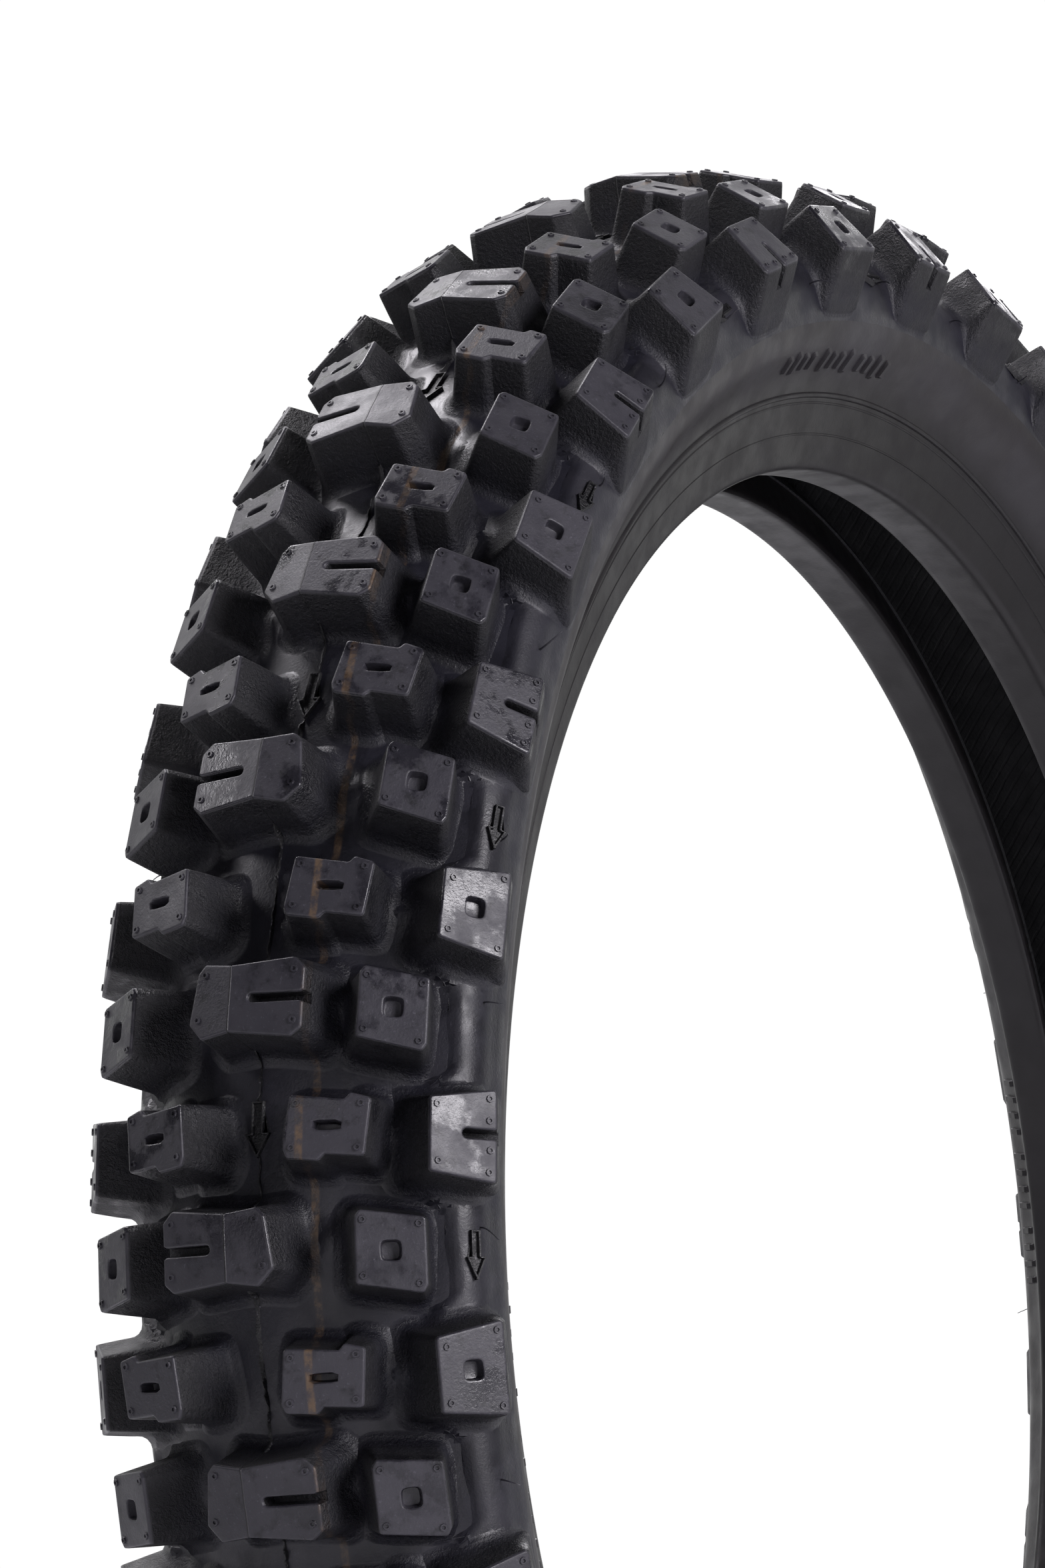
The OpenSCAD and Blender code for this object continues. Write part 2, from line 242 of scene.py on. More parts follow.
def put_mesh(name, points, face_sets, material, slot, nodes=(), sharp=36, **attributes):
    """Makes a piece from points in millimetres and arrays of faces with equal corner counts."""
    mesh = bpy.data.meshes.new(name)
    loops = np.concatenate([f.ravel() for f in face_sets])
    sizes = np.concatenate([np.full(len(f), f.shape[1]) for f in face_sets])
    mesh.vertices.add(len(points))
    mesh.vertices.foreach_set("co", (points * MM).astype(np.float32).ravel())
    mesh.loops.add(len(loops))
    mesh.loops.foreach_set("vertex_index", loops.astype(np.int32))
    mesh.polygons.add(len(sizes))
    mesh.polygons.foreach_set("loop_start", (np.cumsum(sizes) - sizes).astype(np.int32))
    mesh.update(calc_edges=True)
    mesh.validate()
    mesh.polygons.foreach_set("use_smooth", np.ones(len(mesh.polygons), bool))
    mesh.set_sharp_from_angle(angle=radians(sharp))
    for key, values in attributes.items():
        layer = mesh.attributes.new(key, "FLOAT", "POINT")
        layer.data.foreach_set("value", values.astype(np.float32).ravel())
    mesh.materials.append(material)
    piece = bpy.data.objects.new(name, mesh)
    bpy.context.scene.collection.objects.link(piece)
    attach(piece, "root")
    if nodes:
        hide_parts(*nodes)
    return piece


def grid_faces(rows, columns, close_rows=False, flip=False, start=0):
    """Quads of a grid whose columns close into a ring, and whose rows may close too."""
    i = np.arange(rows if close_rows else rows - 1)[:, None]
    j = np.arange(columns)[None, :]
    below, beside = (i + 1) % rows, (j + 1) % columns
    quads = np.stack([i * columns + j, i * columns + beside, below * columns + beside,
                      below * columns + j], -1).reshape(-1, 4)
    return (quads[:, ::-1] if flip else quads) + start


def many(faces, copies, step):
    """The same faces for each of several copies whose points follow one another."""
    return (faces[None] + (np.arange(copies) * step)[:, None, None]).reshape(-1, faces.shape[1])


def ring_piece(name, profile, columns, material, slot, nodes=(), side=1, **attributes):
    """A closed profile of radius and distance across, carried once round the axle."""
    k = np.arange(columns) / columns * PITCHES
    points = turn(k[None, :], profile[:, 0][:, None], profile[:, 1][:, None] * side)
    faces = grid_faces(len(profile), columns, close_rows=True, flip=side > 0)
    wide = {key: np.repeat(value, columns) for key, value in attributes.items()}
    return put_mesh(name, points.reshape(-1, 3), [faces], material, slot, nodes, **wide)


# ---- Outlines -------------------------------------------------------------------------------

def unit(a):
    """Each row of a at length one."""
    return a / np.maximum(np.linalg.norm(a, axis=-1, keepdims=True), 1e-9)


def round_outline(corners, radii, on_arc, on_edge):
    """A clockwise outline with each corner rounded, and its outward normals.

    Each corner is an arc that touches both edges: its centre lies the radius in from where the arc
    starts, and its points turn evenly from one edge's normal to the next. Straight points lie
    between the arcs.
    """
    c = np.array(corners, float)
    ahead = unit(np.roll(c, -1, 0) - c)
    behind = np.roll(ahead, 1, 0)
    bend = np.arctan2(behind[:, 0] * ahead[:, 1] - behind[:, 1] * ahead[:, 0], (behind * ahead).sum(1))
    radius = np.broadcast_to(np.asarray(radii, float), bend.shape)
    signed = -radius * np.sign(bend)
    reach = (radius * np.abs(np.tan(bend / 2)))[:, None]
    first = np.arctan2(behind[:, 1], behind[:, 0]) + pi / 2
    angle = first[:, None] + bend[:, None] * np.linspace(0, 1, on_arc)
    out = np.stack([np.cos(angle), np.sin(angle)], -1)
    centre = c - reach * behind - signed[:, None] * out[:, 0]
    arcs = centre[:, None] + signed[:, None, None] * out
    share = np.linspace(0, 1, on_edge + 2)[1:-1, None]
    ends, starts = arcs[:, -1:], np.roll(arcs, -1, 0)[:, :1]
    edges = ends + (starts - ends) * share[None]
    normals = np.concatenate([out, np.repeat(out[:, -1:], on_edge, 1)], 1)
    return np.concatenate([arcs, edges], 1).reshape(-1, 2), normals.reshape(-1, 2)


def soften(a, spread):
    """Blurs values round a closed outline with a bell curve, by way of their waves."""
    waves = np.fft.rfft(a, axis=0)
    fade = np.exp(-2 * (pi * spread * np.fft.rfftfreq(len(a))) ** 2)
    return np.fft.irfft(waves * fade[:, None], len(a), axis=0)


# ---- Blocks ---------------------------------------------------------------------------------
# A block is drawn in its own frame: x runs outward across the tire, y up at the tire's front, z out
# of the tire, and the top's middle is the origin. For each kind: its outline's corners, their radii
# and the points along each straight; the corners between which a slot's mouth lies; the corners on
# its ridge; its hole's middle, half length, half width and squareness; its place, as distance
# across, depth below the middle blocks' top and lean; and the spots of its nubs.

DRAFT = radians(7)
RIDGE_SLOPE = radians(8.5)
SIDE_STEP = 1.7
CORNER = 1.0  # rounding of a block's upright corners
WAIST = 8.0  # rounding of the middle block's waist at its ridge
FLARE = tan(radians(26.7)) / tan(DRAFT)  # how much further the shoulder blocks' outer walls spread
SLOT_PULL = 0.25  # a slot's walls have less draft
HOLE_ROWS, EDGE_ROWS = 8, 5

BLOCKS = {
    "middle": dict(
        corners=[(-8.3, 9.4), (0, 8.4), (16.3, 9.7), (18.9, 7.1), (18.9, 1.2), (4.7, 1.2), (4.7, -1.2),
                 (18.9, -1.2), (18.9, -7.7), (16.3, -9.8), (0, -8.4), (-8.3, -9.4), (-12.1, -5.3),
                 (-10.2, 7.3)],
        radii=[CORNER, WAIST, CORNER, CORNER, 0.8, 1.15, 1.15, 0.8, CORNER, CORNER, WAIST, CORNER,
               CORNER, CORNER],
        on_edge=2, mouth=(4, 7), ridge=(1, 10), hole=None, at=(0, 0, 0),
        pips=[(16.7, 6.8), (17.0, -6.1), (-8.1, 6.8), (-9.7, -4.5)]),
    "inner": dict(
        corners=[(-9.3, 5.7), (4.4, 4.4), (5.8, 6), (10.9, 4.6), (9.4, -9.6), (-0.4, -8.8), (-2.1, -10.5),
                 (-9.9, -9.8), (-10.8, -7.5)],
        radii=CORNER, on_edge=2, mouth=None, ridge=None, hole=(0.1, -1.9, 3.7, 1.2, 3.0),
        at=(24.6, 4.6, 17.7),
        pips=[(-7.6, 3.5), (-8.6, -7.3), (8.6, 3.3), (7.8, -7.5)]),
    "outer": dict(
        corners=[(-8.6, 6.1), (-7.5, 7.7), (8.6, 5.5), (8.7, -10.9), (7.6, -12.8), (-8.7, -10.2)],
        radii=CORNER, on_edge=5, mouth=None, ridge=None, hole=(0, -2.4, 2.5, 2.5, 2.5),
        at=(39.9, 11.7, 32.8),
        pips=[(-6.8, 5.3), (-6.9, -8.3), (6.9, 3.9), (6.7, -10.5)]),
    "slotted": dict(
        corners=[(-9.2, 5.6), (8.7, 8.3), (8.74, -1.7), (-0.4, -1.7), (-0.4, -4.1), (8.76, -4.1),
                 (8.8, -14.8), (-9.1, -12.7)],
        radii=[CORNER, CORNER, 0.8, 1.15, 1.15, 0.8, CORNER, CORNER],
        on_edge=5, mouth=(2, 5), ridge=None, hole=None, at=(53.5, 24.6, 53.4), flare=FLARE,
        pips=[(-7.3, 3.8), (-6.9, -10.1), (6.7, 5.9), (6.7, 0.5), (6.9, -6.8), (6.7, -12.2)]),
    "dimpled": dict(
        corners=[(-9.2, 5.6), (8.7, 8.3), (8.8, -14.8), (-9.1, -12.7)],
        radii=CORNER, on_edge=13, mouth=None, ridge=None, hole=(0, -3.1, 2.5, 2.5, 2.5),
        at=(53.5, 24.6, 53.4), flare=FLARE,
        pips=[(-6.7, 3.1), (-6.7, -10.4), (6.9, 6.0), (7.0, -12.3)]),
}
ARC_POINTS = 5
FOOT_ANGLES = (22, 45, 68, 90)  # where the foot's quarter circle has rows, in degrees


def stand(local, k, at, side):
    """Carries points from a block's own frame to pitch k: leaned out by at's lean about the tire's
    run, moved out to the block's place and turned about the axle. Side -1 is the mirror image."""
    lean = radians(at[2])
    x, y, z = local[..., 0], local[..., 1], local[..., 2]
    out = TOP_R - at[1] - x * sin(lean) + z * cos(lean)
    across = at[0] + x * cos(lean) + z * sin(lean)
    a = (0.5 - k) * PITCH
    return np.stack([out * np.cos(a) - y * np.sin(a), across * side, out * np.sin(a) + y * np.cos(a)], -1)


def hole_outline(angle, hole, grow):
    """A rounded rectangle by polar angle about its middle: the distance out is the superellipse's,
    the root of order p of the sum of the powers p of cosine over length and sine over width."""
    _, _, long, wide, power = hole
    long, wide = long + grow, wide + grow
    p = power * 1.6
    far = (np.abs(np.cos(angle) / long) ** p + np.abs(np.sin(angle) / wide) ** p) ** (-1 / p)
    return np.stack([hole[0] + far * np.cos(angle), hole[1] + far * np.sin(angle)], -1)


def block_rows(kind, k, side, step, sizes):
    """Rows of points over blocks at pitches k, from the middle of the top down to under the floor.

    Each row is the outline pushed out along its normals: in by the edge's rounding at the top, then
    out with the wall's draft, and out along a quarter circle at the foot, whose height over the
    floor's relief is found by stepping down. Below the slot's floor the outline has no notch, and
    towards the foot it blends into a softened copy of itself. A flared block's outer wall spreads
    further and has a small foot, so it runs down the sidewall as a flat buttress.
    """
    shape = BLOCKS[kind]
    cut, cut_out = round_outline(shape["corners"], shape["radii"], ARC_POINTS, shape["on_edge"])
    per = ARC_POINTS + shape["on_edge"]
    slope = tan(RIDGE_SLOPE) if shape["ridge"] else 0.0
    if shape["ridge"]:
        for corner in shape["ridge"]:
            cut[corner * per + ARC_POINTS // 2, 0] = 0.0
            cut_out[corner * per + ARC_POINTS // 2] = (0, np.sign(cut[corner * per + ARC_POINTS // 2, 1]))
    full, full_out = cut.copy(), cut_out.copy()
    pull = np.ones(len(cut))
    if shape["mouth"]:
        low, high = shape["mouth"][0] * per, shape["mouth"][1] * per + ARC_POINTS - 1
        share = np.linspace(0, 1, high - low + 1)[:, None]
        full[low:high + 1] = cut[low] + (cut[high] - cut[low]) * share
        full_out[low:high + 1] = cut_out[low]
        pull[low + 2:high - 1] = SLOT_PULL
    soft, soft_out = soften(full, 1.6), unit(soften(full_out, 4.5))
    edge, foot, drafted = sizes.edge_radius / MM, sizes.foot_radius / MM, tan(DRAFT)
    flare = shape.get("flare", 1.0)
    foot = foot * (1 - 0.72 * ease(full_out[:, 0], 0.1, 0.9) * (flare > 1))
    slot_z = -sizes.slot_depth / MM
    knobs = len(k)

    def local(xy, z):
        xy, z = np.broadcast_arrays(np.asarray(xy), np.asarray(z)[..., None])
        return np.concatenate([xy, z[..., :1]], -1)

    def spread(out):
        return out * np.stack([np.where(out[..., 0] > 0, flare, 1.0), np.ones(out.shape[:-1])], -1)

    def roof(xy):
        return -np.abs(xy[..., 0]) * slope

    def place(p):
        at = np.array(shape["at"], float)
        spot = (at[0] + step[:, None], at[1], at[2])
        return stand(p, k[:, None], spot, side)

    def clearance(p):
        pitch, run, lift = find_on_casing(place(p))
        return lift - relief(pitch, run, sizes)

    # Upper part, with any notch.
    rows = []
    top_z = roof(cut)
    level = cut + (drafted * -top_z * pull)[:, None] * spread(cut_out)
    if shape["hole"]:
        hole = shape["hole"]
        inner = level - (edge + 0.3) * cut_out
        angle = np.arctan2(inner[:, 1] - hole[1], inner[:, 0] - hole[0])
        deep = sizes.dimple_depth / MM if kind != "inner" else -slot_z * 0.75
        for grow, z in ((-0.75, -deep + 0.05), (-0.45, -deep + 0.12), (-0.2, -deep + 0.5), (-0.02, -0.5),
                        (0.0, -0.3), (0.1, -0.09), (0.3, 0.0), (0.55, 0.0)):
            rows.append(local(hole_outline(angle, hole, grow), z))
    for inset, drop in ((edge + 0.3, 0), (edge, 0), (edge * 0.5, edge * 0.134),
                        (edge * 0.134, edge * 0.5), (0, edge)):
        xy = level - inset * cut_out
        rows.append(local(xy, roof(xy) - drop))
    for share in (0.12, 0.5, 1.0):
        z = (top_z - edge) + (slot_z - top_z + edge) * share
        rows.append(local(cut + (drafted * -z * pull)[:, None] * spread(cut_out), z))
    upper = [np.broadcast_to(r, (knobs,) + r.shape) for r in rows]

    def line(share, down, far=0.0):
        base = full + (soft - full) * share
        out = unit(full_out + (soft_out - full_out) * share)
        return base + (drafted * down)[..., None] * spread(out) + np.asarray(far)[..., None] * out

    # Depths at which the wall comes to the fillet's start and to the floor.
    depth = np.linspace(5.0, 36.0, 125)
    probe = local(line(0.4, depth[:, None] * np.ones(len(full))), -depth[:, None])
    gap = np.stack([clearance(np.broadcast_to(p, (knobs,) + p.shape)) for p in probe], 1)

    def depth_at(height):
        under = gap < height
        j = np.clip(np.argmax(under, 1), 1, len(depth) - 1)[:, None]
        g0, g1 = np.take_along_axis(gap, j - 1, 1)[:, 0], np.take_along_axis(gap, j, 1)[:, 0]
        j = j[:, 0]
        return depth[j - 1] + (depth[j] - depth[j - 1]) * np.clip((g0 - height) / (g0 - g1), 0, 1)

    start = -np.maximum(depth_at(foot), 0.9 - slot_z)
    lower = []
    first = slot_z - 0.6
    for share in (0, 0.35, 0.7, 1.0):
        z = first + (start - first) * share
        lower.append(local(line(share * 0.4, -z), z))
    quarter = [(foot * (1 - cos(a)), foot * (1 - sin(a)), 0.4 + 0.4 * sin(a))
               for a in np.radians(FOOT_ANGLES)]
    for far, high, share in quarter + [(foot + 0.7, -0.04, 0.8), (foot + 1.3, -1.0, 0.8)]:
        z = start - (foot - high)
        xy = line(share, -start, far)
        for _ in range(9):
            z = z - (clearance(local(xy, z)) - high)
        lower.append(local(xy, z))
    stack = np.stack(upper + lower, 1)
    return shape, stack, place, per


def pip_points(spots, slope, edge_count=8):
    """A small ring-shaped nub at each spot: a profile of radius and height carried round it."""
    radius = np.array([1.05, 0.9, 0.5, 0.4])
    height = np.array([-0.25, 0.42, 0.42, 0.05])
    a = -np.arange(edge_count) / edge_count * 2 * pi
    circle = np.stack([np.cos(a), np.sin(a)], -1)
    xy = np.array(spots)[:, None, None] + (radius[::-1, None, None] * circle)[None]
    z = height[::-1][None, :, None] - np.abs(xy[..., 0]) * slope
    return np.concatenate([xy, z[..., None]], -1)


def block_piece(name, kind, k, side, step, sizes, material, nodes):
    """All the blocks of one row: their closed skins, and the small nubs on their tops."""
    shape, rows, place, per = block_rows(kind, k, side, step, sizes)
    knobs, depth, count = rows.shape[:3]
    points = np.stack([place(rows[:, i]) for i in range(depth)], 1)
    single = [grid_faces(depth, count)]
    ring = np.arange(count)
    if shape["ridge"]:
        a, b = (c * per + ARC_POINTS // 2 for c in shape["ridge"])
        single += [ring[a:b + 1][::-1][None], np.concatenate([ring[b:], ring[:a + 1]])[::-1][None]]
    else:
        single.append(ring[::-1][None])
    single.append((ring + (depth - 1) * count)[None])
    faces = [many(f[:, ::-1] if side < 0 else f, knobs, depth * count) for f in single]
    z = rows[..., 2]
    # low deepens the painted void shade down the block walls, from 3 mm to 14 mm below the top.
    low = ease(z, -3.0, -14.0)
    start, foot = (HOLE_ROWS if shape["hole"] else 0) + EDGE_ROWS, depth - len(FOOT_ANGLES) - 1
    wall = np.zeros(rows.shape[:3])
    wall[:, start:foot] = 1.0
    wall[:, foot:foot + 2] = 0.5
    pips = pip_points(shape["pips"], tan(RIDGE_SLOPE) if shape["ridge"] else 0.0)
    spots, levels, around = pips.shape[:3]
    pip_rows = np.broadcast_to(pips.reshape(1, -1, 3), (knobs, spots * levels * around, 3))
    pip_at = place(pip_rows)
    nub = [grid_faces(levels, around), np.arange(around)[::-1][None],
           (np.arange(around) + (levels - 1) * around)[None]]
    shift = knobs * depth * count
    faces += [many(f[:, ::-1] if side < 0 else f, knobs * spots, levels * around) + shift for f in nub]
    everything = np.concatenate([points.reshape(-1, 3), pip_at.reshape(-1, 3)])
    extra = np.zeros(knobs * spots * levels * around)
    return put_mesh(name, everything, faces, material, "tread", nodes,
                    low=np.concatenate([low.ravel(), extra]), wall=np.concatenate([wall.ravel(), extra]))


# ---- Materials ------------------------------------------------------------------------------

class Nodes:
    """Adds shader nodes to a new material and joins them."""

    def __init__(self, name):
        self.material = bpy.data.materials.new(name)
        self.material.use_nodes = True
        self.tree = self.material.node_tree
        self.tree.nodes.clear()
        self.coords = self.tree.nodes.new("ShaderNodeTexCoord").outputs["Object"]

    def set(self, socket, value):
        if isinstance(value, bpy.types.NodeSocket):
            self.tree.links.new(value, socket)
        elif isinstance(value, (tuple, list)) and len(value) == 3 and socket.type == "RGBA":
            socket.default_value = (*value, 1.0)
        else:
            socket.default_value = value

    def add(self, kind, settings=None, **inputs):
        node = self.tree.nodes.new("ShaderNode" + kind)
        for key, value in (settings or {}).items():
            setattr(node, key, value)
        for key, value in inputs.items():
            numbered = key[0] == "i" and key[1:].isdigit()
            self.set(node.inputs[int(key[1:]) if numbered else key.replace("_", " ")], value)
        return node

    def math(self, operation, a, b=0.0, c=0.0):
        return self.add("Math", {"operation": operation}, i0=a, i1=b, i2=c).outputs[0]

    def times(self, a, b):
        return self.math("MULTIPLY", a, b)

    def noise(self, scale, detail=4.0, roughness=0.55, stretch=None):
        coords = self.coords
        if stretch:
            coords = self.add("Mapping", Vector=self.coords, Scale=stretch).outputs[0]
        node = self.add("TexNoise", Vector=coords, Scale=scale, Detail=detail, Roughness=roughness)
        return node.outputs[0]

    def bands(self, coords, scale, distortion, detail):
        node = self.add("TexWave", {"wave_type": "BANDS"}, Vector=coords, Scale=scale,
                        Distortion=distortion, Detail=detail)
        return node.outputs[1]

    def range(self, value, low, high, to_low=0.0, to_high=1.0):
        """A smooth step from to_low where value is low to to_high where it is high."""
        node = self.add("MapRange", {"interpolation_type": "SMOOTHSTEP"},
                        i0=value, i1=low, i2=high, i3=to_low, i4=to_high)
        return node.outputs[0]

    def mottle(self, scale, detail, low, high, to_low=0.0, to_high=1.0, roughness=0.55):
        """Noise read through a smooth step, so it leaves patches."""
        return self.range(self.noise(scale, detail, roughness), low, high, to_low, to_high)

    def mix(self, share, a, b, blend="MIX"):
        node = self.tree.nodes.new("ShaderNodeMix")
        node.data_type, node.blend_type = "RGBA", blend
        self.set(node.inputs[0], share)
        self.set(node.inputs[6], a)
        self.set(node.inputs[7], b)
        return node.outputs[2]

    def attribute(self, name):
        node = self.tree.nodes.new("ShaderNodeAttribute")
        node.attribute_name = name
        return node.outputs["Fac"]

    def across(self):
        return self.add("SeparateXYZ", Vector=self.coords).outputs[1]

    def bump(self, height, strength, distance, under=None):
        node = self.add("Bump", Height=height, Strength=strength, Distance=distance)
        if under:
            self.set(node.inputs["Normal"], under)
        return node.outputs[0]

    def finish(self, colour, roughness, normal, specular=0.5, metallic=0.0):
        shader = self.add("BsdfPrincipled", Base_Color=colour, Roughness=roughness, Normal=normal)
        shader.inputs["Specular IOR Level"].default_value = specular
        shader.inputs["Metallic"].default_value = metallic
        end = self.tree.nodes.new("ShaderNodeOutputMaterial")
        self.tree.links.new(shader.outputs[0], end.inputs["Surface"])
        return self.material


def shade(colour, factor=1.0):
    """A colour made darker or paler by a factor."""
    return tuple(factor * c for c in colour)


# The stripe's distance across on the tops and how far it moves down in the voids, in metres.
STRIPE_TOP, STRIPE_DROP = 0.0198, -0.0047


def tread_rubber(colours):
    """Cured tread rubber: a pale cloudy tone with painted light on the tops and pale specks painted as
    sparkle glints, painted shade that makes the grained walls near black and the voids dark and
    bluish, rubbed glossy patches, the faded stripe, and the mould's parting line with a dark line of
    painted shade along it.

    The attribute low runs from 0 on the tops to 1 in the voids, and wall is 1 on the drafted walls.
    """
    n = Nodes("tread_rubber")
    low, wall = n.attribute("low"), n.attribute("wall")
    patch, fine, grain = n.noise(130, 4), n.noise(1500, 3), n.noise(1000, 3, 0.75)
    colour = n.mix(n.mottle(38, 5, 0.38, 0.68, 0.1, 0.9), shade(colours.rubber), shade(colours.bloom_and_light))
    # Painted light: the block tops are lightened toward the pale colour, as where the lamps fall on them.
    top = n.times(n.range(wall, 0.0, 1.0, 1.0, 0.0), n.range(low, 0.0, 0.6, 1.0, 0.0))
    colour = n.mix(n.times(top, 0.55), colour, shade(colours.bloom_and_light, 1.45))
    # Painted shade: the drafted walls are darkened to near black, as where they face away from the lamps;
    # their grain is in the bump.
    colour = n.mix(n.times(wall, 0.85), colour, shade(colours.rubber, 0.3))
    # Painted glints: pale specks stand in for light sparkling on the grained rubber, stronger on the tops.
    painted_sparkle = n.mottle(1000, 4, 0.58, 0.72, roughness=0.8)
    colour = n.mix(n.times(painted_sparkle, n.range(top, 0.0, 1.0, 0.35, 0.7)), colour, shade(colours.bloom_and_light, 3.2))
    colour = n.mix(n.mottle(210, 6, 0.52, 0.72, 0.0, 0.8, 0.7), colour, shade(colours.rubber, 0.45))
    # Painted shade: the tread is darkened and tinted blue low down between the blocks, by the attribute low.
    colour = n.mix(n.times(low, n.range(patch, 0.3, 0.7, 0.25, 0.75)), colour, shade(colours.voids))

    across = n.across()
    wander = n.math("MULTIPLY_ADD", n.noise(60, 3), 0.0016, -0.0008)
    middle = n.math("MULTIPLY_ADD", low, STRIPE_DROP, STRIPE_TOP)
    off = n.math("ABSOLUTE", n.math("SUBTRACT", n.math("ADD", across, wander), middle))
    worn = n.times(n.mottle(300, 5, 0.36, 0.60, 0.1, roughness=0.7), n.mottle(16, 2, 0.34, 0.56, 0.12, 0.75))
    stripe = n.times(n.times(n.range(off, 0.0012, 0.0006), worn), n.range(wall, 0.2, 0.8, 1.0, 0.25))
    colour = n.mix(stripe, colour, shade(colours.stripe))

    gloss = n.times(n.mottle(70, 6, 0.46, 0.58, roughness=0.65), n.mottle(11, 2, 0.45, 0.58))
    colour = n.mix(n.times(gloss, 0.55), colour, shade(colours.rubber, 0.6))
    rough = n.range(patch, 0.3, 0.7, 0.40, 0.56)
    rough = n.math("SUBTRACT", rough, n.times(gloss, n.range(low, 0.0, 0.4, 0.27, 0.08)))
    rough = n.math("ADD", rough, n.times(wall, 0.14))
    rough = n.math("SUBTRACT", rough, n.times(n.range(low, 0.85, 1.0), 0.07))

    sway = n.math("MULTIPLY_ADD", n.noise(90, 2), 0.0008, -0.0004)
    line = n.range(n.math("ABSOLUTE", n.math("ADD", across, sway)), 0.0003, 0.0001)
    seam = n.times(line, n.range(low, 0.8, 0.95, 1.0, 0.0))
    # Painted shade: a dark line along the mould's parting line on the floor stands for the shade beside the
    # fin.
    colour = n.mix(n.times(seam, 0.7), colour, shade(colours.rubber, 0.3))
    normal = n.bump(n.math("ADD", n.times(fine, 0.35), n.times(patch, 0.5)), 0.35, 0.0004)
    normal = n.bump(n.times(grain, n.range(wall, 0.0, 1.0, 0.12, 1.0)), 0.9, 0.0007, normal)
    normal = n.bump(seam, 0.8, 0.0005, normal)
    return n.finish(colour, rough, normal, 0.32)


def side_rubber(colours):
    """Smooth cured sidewall rubber: soft waxy cloud, dull patches and fine pitting, and painted shade
    in the hollow towards the bead, by the distance from the axle, the root of the sum of the squares
    of x and z."""
    n = Nodes("sidewall_rubber")
    colour = n.mix(n.mottle(26, 5, 0.35, 0.7, 0.0, 0.5), shade(colours.side), shade(colours.bloom_and_light))
    colour = n.mix(n.mottle(210, 5, 0.55, 0.8, 0.0, 0.5, 0.6), colour, shade(colours.voids))
    place = n.add("SeparateXYZ", Vector=n.coords).outputs
    out = n.math("SQRT", n.math("ADD", n.times(place[0], place[0]), n.times(place[2], place[2])))
    # Painted shade: the sidewall darkens in the hollow towards the bead, by the distance from the axle.
    colour = n.mix(n.range(out, 0.278, 0.258, 0.0, 0.8), colour, shade(colours.side, 0.3))
    pitting = n.math("ADD", n.times(n.noise(1300, 3), 0.3), n.times(n.noise(160, 4), 0.6))
    return n.finish(colour, n.mottle(85, 5, 0.3, 0.7, 0.36, 0.52), n.bump(pitting, 0.25, 0.0005), 0.3)


def fin_rubber(colours):
    """Torn edge of the mould's parting line: painted near black for the shade it stands in, with a few
    pale flecks painted as glints. The arrows take it too.
    """
    n = Nodes("fin_rubber")
    painted_glint = n.mottle(650, 3, 0.62, 0.70, roughness=0.7)
    # Painted shade and glints: the fin is painted near black for its shade, with pale flecks painted as
    # glints.
    colour = n.mix(n.times(painted_glint, 0.8), shade(colours.rubber, 0.3), shade(colours.bloom_and_light, 3))
    rough = n.mottle(300, 3, 0.3, 0.7, 0.35, 0.6)
    return n.finish(colour, rough, n.bump(n.noise(1500, 3), 0.6, 0.0005), 0.35)


def liner_rubber(colours):
    """Airtight lining: nearly black, with the curing bladder's fine diagonal vent lines."""
    n = Nodes("liner_rubber")
    turned = n.add("Mapping", Vector=n.coords, Rotation=(0.0, radians(30), radians(40))).outputs[0]
    wave = n.bands(turned, 90.0, 1.5, 2.0)
    colour = n.mix(n.mottle(30, 4, 0.3, 0.7), shade(colours.liner), shade(colours.rubber, 0.6))
    normal = n.bump(n.range(wave, 0.75, 0.95), 0.4, 0.0003, n.bump(n.noise(900, 3), 0.3, 0.0004))
    return n.finish(colour, n.mottle(120, 4, 0.3, 0.7, 0.5, 0.68), normal, 0.35)


def cord_ply(colours):
    """Rubbered cord ply: close parallel cords with rubber rubbed between them."""
    n = Nodes("cord_ply")
    cords = n.bands(n.coords, 320.0, 0.6, 1.0)
    bare = n.times(cords, n.mottle(70, 4, 0.3, 0.7, 0.5, 1.0))
    colour = n.mix(bare, shade(colours.cord, 0.35), shade(colours.cord))
    return n.finish(colour, n.mottle(300, 3, 0.3, 0.7, 0.65, 0.85), n.bump(cords, 0.5, 0.0004), 0.3)


def bead_wire(colours):
    """Bronze plated steel wire with drawn scratches and dull patches."""
    n = Nodes("bead_wire_bronze")
    patch = n.noise(220, 4)
    colour = n.mix(n.range(patch, 0.4, 0.7), shade(colours.wire), shade(colours.wire, 0.5))
    normal = n.bump(n.noise(1800, 2, 0.5, (1.0, 12.0, 1.0)), 0.25, 0.0002)
    return n.finish(colour, n.range(patch, 0.3, 0.7, 0.3, 0.5), normal, 0.5, 1.0)


def studio_floor(colours):
    """Pale painted floor with a hint of mottling."""
    n = Nodes("studio_floor")
    colour = n.mix(n.mottle(1.3, 3, 0.3, 0.7), shade(colours.floor), shade(colours.floor, 0.97))
    return n.finish(colour, n.mottle(9, 3, 0.3, 0.7, 0.55, 0.65), n.bump(n.noise(240, 2), 0.05, 0.001), 0.3)


def material(maker):
    """The finished material of a kind, made once."""
    found = bpy.data.materials.get(maker.__name__ + "_ready")
    if not found:
        found = maker(bpy.context.scene.tire_colours)
        found.name = maker.__name__ + "_ready"
    return found


# ---- Operators ------------------------------------------------------------------------------

def sides():
    return (("right", 1), ("left", -1))


